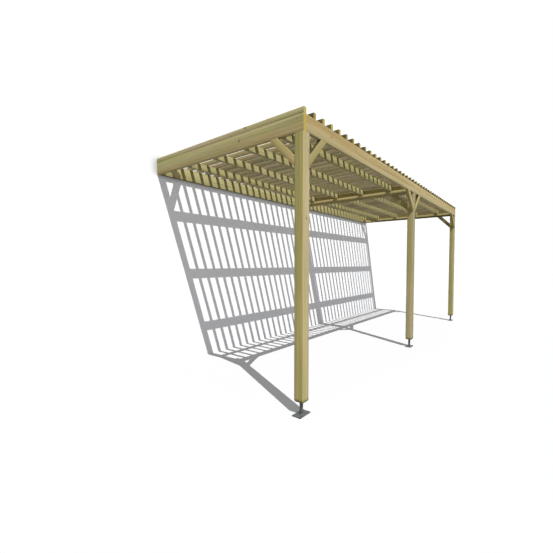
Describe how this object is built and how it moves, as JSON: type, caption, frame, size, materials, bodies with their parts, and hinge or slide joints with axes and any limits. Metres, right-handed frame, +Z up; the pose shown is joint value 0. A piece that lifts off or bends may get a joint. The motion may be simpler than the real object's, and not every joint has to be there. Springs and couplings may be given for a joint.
{
  "type": "lean-to pergola",
  "caption": "Open timber lean-to pergola: a level slatted roof on a wall ledger at the back and square posts on steel feet at the front, with corner braces.",
  "frame": {"origin": "centre of the back face of the wall ledger, where it lies on the wall", "axes": "+X along the wall from the near end to the far end, +Y into the wall, +Z up; the ground is 2.4 m below the origin"},
  "size_m": [6.065, 2.1, 2.52],
  "materials": {
    "post_wood": "pressure-treated softwood, planed",
    "beam_wood": "pressure-treated softwood, planed",
    "brace_wood": "pressure-treated softwood, planed",
    "slat_wood": "pressure-treated softwood, planed",
    "galvanised_steel": "dark grey coating, satin"
  },
  "bodies": {
    "root": {"near_post": "post_wood", "middle_post": "post_wood", "far_post": "post_wood", "near_foot": "galvanised_steel", "middle_foot": "galvanised_steel", "far_foot": "galvanised_steel", "front_beam": "beam_wood", "near_end_beam": "beam_wood", "far_end_beam": "beam_wood", "near_middle_beam": "beam_wood", "far_middle_beam": "beam_wood", "wall_ledger": "beam_wood", "near_purlin_1": "beam_wood", "near_purlin_2": "beam_wood", "near_purlin_3": "beam_wood", "near_purlin_4": "beam_wood", "far_purlin_1": "beam_wood", "far_purlin_2": "beam_wood", "far_purlin_3": "beam_wood", "far_purlin_4": "beam_wood", "near_end_bearer": "beam_wood", "near_middle_bearer": "beam_wood", "far_middle_bearer": "beam_wood", "far_end_bearer": "beam_wood", "near_post_side_brace": "brace_wood", "near_post_front_brace": "brace_wood", "middle_post_near_brace": "brace_wood", "middle_post_far_brace": "brace_wood", "middle_post_side_brace": "brace_wood", "far_post_front_brace": "brace_wood", "far_post_side_brace": "brace_wood", "near_wall_corner_brace": "brace_wood", "far_wall_corner_brace": "brace_wood", "roof_slats_1": "slat_wood", "roof_slats_2": "slat_wood", "roof_slats_3": "slat_wood", "roof_slats_4": "slat_wood", "roof_slats_5": "slat_wood", "roof_slats_6": "slat_wood", "roof_slats_7": "slat_wood"}
  },
  "joints": []
}
